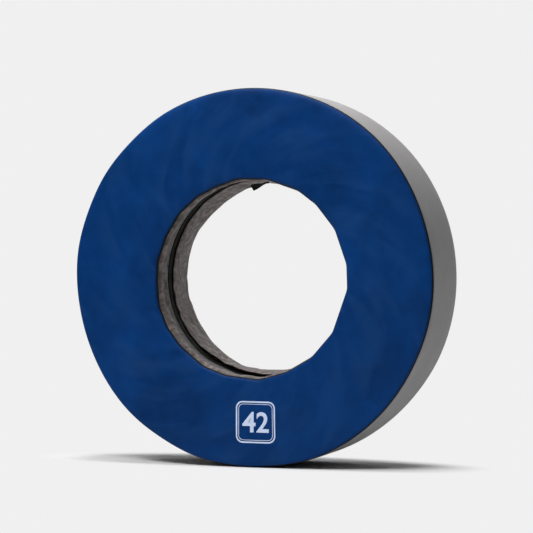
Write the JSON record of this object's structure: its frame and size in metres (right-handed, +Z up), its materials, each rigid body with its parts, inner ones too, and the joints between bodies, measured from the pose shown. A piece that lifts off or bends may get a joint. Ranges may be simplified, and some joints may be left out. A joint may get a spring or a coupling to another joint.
{
  "type": "tackling wheel",
  "caption": "Padded foam ring for tackling practice in a sewn vinyl cover, with piped edges and a zip round the inside of its bore.",
  "frame": {"origin": "centre of the wheel, midway between its faces", "axes": "+Y along the wheel's axis from the marked front face to the rear face, +Z up with the wheel standing on its tread, +X to the right seen from the front"},
  "size_m": [1.067, 0.254, 1.067],
  "materials": {
    "foam": "matte",
    "blue_vinyl": "satin",
    "grey_vinyl": "satin",
    "lining_vinyl": "matte",
    "black_vinyl": "satin",
    "filler": "matte",
    "zip_tape": "matte",
    "zip_teeth": "satin",
    "zip_metal": "satin",
    "webbing": "matte"
  },
  "bodies": {
    "wheel": {"foam_slab_front": "foam", "foam_slab_middle": "foam", "foam_slab_rear": "foam", "front_panel": "blue_vinyl", "rear_panel": "blue_vinyl", "tread_band": "grey_vinyl", "bore_band_front": "lining_vinyl", "bore_band_rear": "lining_vinyl", "zip_end_panel": "lining_vinyl", "outer_welt_front": "black_vinyl", "outer_welt_rear": "black_vinyl", "bore_welt_front": "black_vinyl", "bore_welt_rear": "black_vinyl", "outer_filler_front": "filler", "outer_filler_rear": "filler", "bore_filler_front": "filler", "bore_filler_rear": "filler", "zip_tape_front": "zip_tape", "zip_tape_rear": "zip_tape", "zip_teeth_front": "zip_teeth", "zip_teeth_rear": "zip_teeth", "zip_stop_closed": "zip_metal", "zip_stop_open": "zip_metal"},
    "slider": {"zip_slider": "zip_metal"},
    "pull": {"zip_pull": "zip_metal", "pull_tab": "webbing"}
  },
  "joints": [
    {"name": "zip_travel", "type": "hinge", "parent": "wheel", "child": "slider", "pos_m": [0, -0.022, 0], "axis": [0, -1, 0], "range_deg": [0, 330.6]},
    {"name": "pull_swing", "type": "hinge", "parent": "slider", "child": "pull", "pos_m": [0.03817, -0.022, 0.27779], "axis": [0, -1, 0], "range_deg": [-10, 142]}
  ]
}
